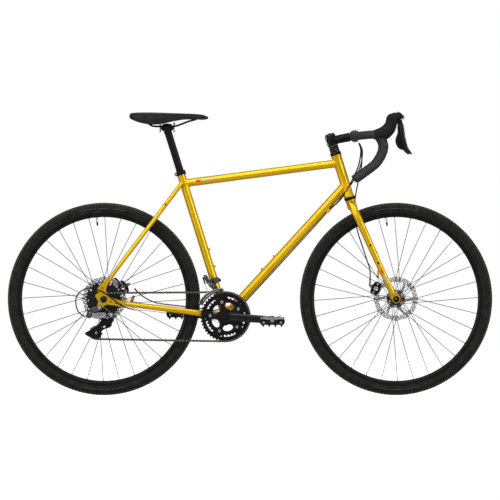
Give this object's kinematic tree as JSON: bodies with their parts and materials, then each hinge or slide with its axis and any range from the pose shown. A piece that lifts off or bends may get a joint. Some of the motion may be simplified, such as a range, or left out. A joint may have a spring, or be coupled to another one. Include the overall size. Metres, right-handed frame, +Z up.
{
  "type": "road bicycle",
  "caption": "Disc-brake road bicycle with a steel-style diamond frame, drop handlebar, double chainset, derailleur gears, clip-in pedals and knobbly tyres.",
  "frame": {"origin": "on the ground, midway between the places where the two tyres touch it", "axes": "+X forward, +Y to the rider's left, +Z up; the drive side faces -Y"},
  "size_m": [1.7566, 0.4702, 1.0254],
  "materials": {
    "frame_paint": "glossy metallic paint",
    "black_alloy": "satin black anodised",
    "silver_alloy": "polished",
    "steel": "brushed",
    "chain_steel": "oiled",
    "tyre_rubber": "matt",
    "hood_rubber": "matt",
    "bar_tape": "matt",
    "saddle_cover": "satin",
    "black_plastic": "satin"
  },
  "bodies": {
    "frame": {"head_tube": "frame_paint", "top_tube": "frame_paint", "down_tube": "frame_paint", "seat_tube": "frame_paint", "bottom_bracket_shell": "frame_paint", "right_chain_stay": "frame_paint", "left_chain_stay": "frame_paint", "right_seat_stay": "frame_paint", "left_seat_stay": "frame_paint", "seat_clamp": "black_alloy", "rear_axle": "steel", "chain": "chain_steel", "rear_brake_caliper": "black_alloy", "front_derailleur_clamp": "silver_alloy", "rear_brake_cable": "black_plastic", "rear_shift_cable": "black_plastic", "front_shift_cable": "black_plastic"},
    "steering": {"fork": "frame_paint", "stem": "black_alloy", "handlebar": "bar_tape", "right_shifter_body": "hood_rubber", "left_shifter_body": "hood_rubber", "front_brake_caliper": "black_alloy", "front_brake_cable": "black_plastic", "front_axle": "steel"},
    "front_wheel": {"front_tyre": "tyre_rubber", "front_rim": "black_alloy", "front_spokes": "steel", "front_hub": "black_alloy", "front_rotor": "steel"},
    "rear_wheel": {"rear_tyre": "tyre_rubber", "rear_rim": "black_alloy", "rear_spokes": "steel", "rear_hub": "black_alloy", "rear_rotor": "steel"},
    "cassette": {"cassette": "steel"},
    "crankset": {"right_crank_arm": "black_alloy", "left_crank_arm": "black_alloy", "outer_chainring": "black_alloy", "inner_chainring": "black_alloy"},
    "right_pedal": {"right_pedal": "black_alloy"},
    "left_pedal": {"left_pedal": "black_alloy"},
    "seat": {"seatpost": "black_alloy", "saddle": "saddle_cover", "saddle_rails": "steel"},
    "right_lever_bracket": {"right_lever_bracket": "black_alloy"},
    "left_lever_bracket": {"left_lever_bracket": "black_alloy"},
    "right_brake_lever": {"right_brake_lever": "black_alloy"},
    "left_brake_lever": {"left_brake_lever": "black_alloy"},
    "right_shift_paddle": {"right_shift_paddle": "black_alloy"},
    "left_shift_paddle": {"left_shift_paddle": "black_alloy"},
    "derailleur_b_knuckle": {"derailleur_b_knuckle": "silver_alloy"},
    "derailleur_link": {"derailleur_link": "silver_alloy"},
    "derailleur_p_knuckle": {"derailleur_p_knuckle": "silver_alloy"},
    "derailleur_cage": {"derailleur_cage": "black_alloy"},
    "guide_pulley": {"guide_pulley": "black_plastic"},
    "tension_pulley": {"tension_pulley": "black_plastic"},
    "front_derailleur": {"front_derailleur_cage": "silver_alloy"},
    "front_caliper_arm": {"front_caliper_arm": "silver_alloy"},
    "rear_caliper_arm": {"rear_caliper_arm": "silver_alloy"}
  },
  "joints": [
    {"name": "steering_turn", "type": "hinge", "parent": "frame", "child": "steering", "pos_m": [0.3598, 0, 0.7186], "axis": [-0.3007, 0, 0.9537], "range_deg": [-60, 60], "deforming": ["rear_brake_cable", "rear_shift_cable", "front_shift_cable"]},
    {"name": "front_wheel_spin", "type": "hinge", "parent": "steering", "child": "front_wheel", "pos_m": [0.5293, 0, 0.349], "axis": [0, 1, 0], "continuous": true},
    {"name": "rear_wheel_spin", "type": "hinge", "parent": "frame", "child": "rear_wheel", "pos_m": [-0.5293, 0, 0.349], "axis": [0, 1, 0], "continuous": true},
    {"name": "crank_spin", "type": "hinge", "parent": "frame", "child": "crankset", "pos_m": [-0.0893, 0, 0.2854], "axis": [0, 1, 0], "continuous": true, "deforming": ["chain"]},
    {"name": "cassette_spin", "type": "hinge", "parent": "frame", "child": "cassette", "pos_m": [-0.5293, 0, 0.349], "axis": [0, 1, 0], "continuous": true},
    {"name": "right_pedal_spin", "type": "hinge", "parent": "crankset", "child": "right_pedal", "pos_m": [0.08035, 0, 0.27443], "axis": [0, 1, 0], "continuous": true},
    {"name": "left_pedal_spin", "type": "hinge", "parent": "crankset", "child": "left_pedal", "pos_m": [-0.25895, 0, 0.29637], "axis": [0, 1, 0], "continuous": true},
    {"name": "seatpost_slide", "type": "slide", "parent": "frame", "child": "seat", "axis": [-0.2969, 0, 0.9549], "range_m": [-0.1, 0.05]},
    {"name": "right_brake_pull", "type": "hinge", "parent": "steering", "child": "right_lever_bracket", "pos_m": [0.533, -0.2155, 0.992], "axis": [0, 1, 0], "range_deg": [0, 18], "stiffness_Nm_per_rad": 0.6, "springref_deg": -17.19},
    {"name": "right_lever_swing", "type": "hinge", "parent": "right_lever_bracket", "child": "right_brake_lever", "pos_m": [0.5415, -0.2155, 0.985], "axis": [1, 0, 0], "range_deg": [0, 12], "stiffness_Nm_per_rad": 0.4, "springref_deg": -17.19},
    {"name": "right_paddle_swing", "type": "hinge", "parent": "right_brake_lever", "child": "right_shift_paddle", "pos_m": [0.536, -0.2155, 0.985], "axis": [1, 0, 0], "range_deg": [0, 15], "stiffness_Nm_per_rad": 0.2, "springref_deg": -17.19},
    {"name": "left_brake_pull", "type": "hinge", "parent": "steering", "child": "left_lever_bracket", "pos_m": [0.533, 0.2155, 0.992], "axis": [0, 1, 0], "range_deg": [0, 18], "stiffness_Nm_per_rad": 0.6, "springref_deg": -17.19},
    {"name": "left_lever_swing", "type": "hinge", "parent": "left_lever_bracket", "child": "left_brake_lever", "pos_m": [0.5415, 0.2155, 0.985], "axis": [-1, 0, 0], "range_deg": [0, 12], "stiffness_Nm_per_rad": 0.4, "springref_deg": -17.19},
    {"name": "left_paddle_swing", "type": "hinge", "parent": "left_brake_lever", "child": "left_shift_paddle", "pos_m": [0.536, 0.2155, 0.985], "axis": [-1, 0, 0], "range_deg": [0, 15], "stiffness_Nm_per_rad": 0.2, "springref_deg": -17.19},
    {"name": "derailleur_hanger_swing", "type": "hinge", "parent": "frame", "child": "derailleur_b_knuckle", "pos_m": [-0.5433, 0, 0.3187], "axis": [0, 1, 0], "range_deg": [-8, 8], "stiffness_Nm_per_rad": 2, "deforming": ["rear_shift_cable", "chain"]},
    {"name": "derailleur_link_swing", "type": "hinge", "parent": "derailleur_b_knuckle", "child": "derailleur_link", "pos_m": [-0.5705, -0.0835, 0.2915], "axis": [0, 0.625, 0.7806], "range_deg": [0, 30], "stiffness_Nm_per_rad": 1, "springref_deg": -17.19},
    {"name": "derailleur_knuckle_swing", "type": "hinge", "parent": "derailleur_link", "child": "derailleur_p_knuckle", "pos_m": [-0.5165, -0.0835, 0.2915], "axis": [0, 0.625, 0.7806], "range_deg": [-30, 0]},
    {"name": "derailleur_cage_swing", "type": "hinge", "parent": "derailleur_p_knuckle", "child": "derailleur_cage", "pos_m": [-0.5025, 0, 0.291], "axis": [0, 1, 0], "range_deg": [-35, 10], "stiffness_Nm_per_rad": 1},
    {"name": "guide_pulley_spin", "type": "hinge", "parent": "derailleur_cage", "child": "guide_pulley", "pos_m": [-0.5158, 0, 0.2813], "axis": [0, 1, 0], "continuous": true},
    {"name": "tension_pulley_spin", "type": "hinge", "parent": "derailleur_cage", "child": "tension_pulley", "pos_m": [-0.5567, 0, 0.2275], "axis": [0, 1, 0], "continuous": true},
    {"name": "front_derailleur_swing", "type": "hinge", "parent": "frame", "child": "front_derailleur", "pos_m": [-0.14, -0.029, 0.415], "axis": [1, 0, 0], "range_deg": [0, 9], "stiffness_Nm_per_rad": 1, "springref_deg": -17.19},
    {"name": "front_caliper_arm_pull", "type": "hinge", "parent": "steering", "child": "front_caliper_arm", "pos_m": [0.4572, 0, 0.3862], "axis": [0, 1, 0], "range_deg": [0, 20]},
    {"name": "rear_caliper_arm_pull", "type": "hinge", "parent": "frame", "child": "rear_caliper_arm", "pos_m": [-0.4608, 0, 0.3898], "axis": [0, 1, 0], "range_deg": [0, 20]}
  ],
  "couplings": [
    {"joint": "cassette_spin", "follows": "crank_spin", "ratio": 4},
    {"joint": "guide_pulley_spin", "follows": "crank_spin", "ratio": -4},
    {"joint": "tension_pulley_spin", "follows": "crank_spin", "ratio": 4},
    {"joint": "derailleur_knuckle_swing", "follows": "derailleur_link_swing", "ratio": -1},
    {"joint": "front_caliper_arm_pull", "follows": "left_brake_pull", "ratio": 1.1},
    {"joint": "rear_caliper_arm_pull", "follows": "right_brake_pull", "ratio": 1.1}
  ]
}
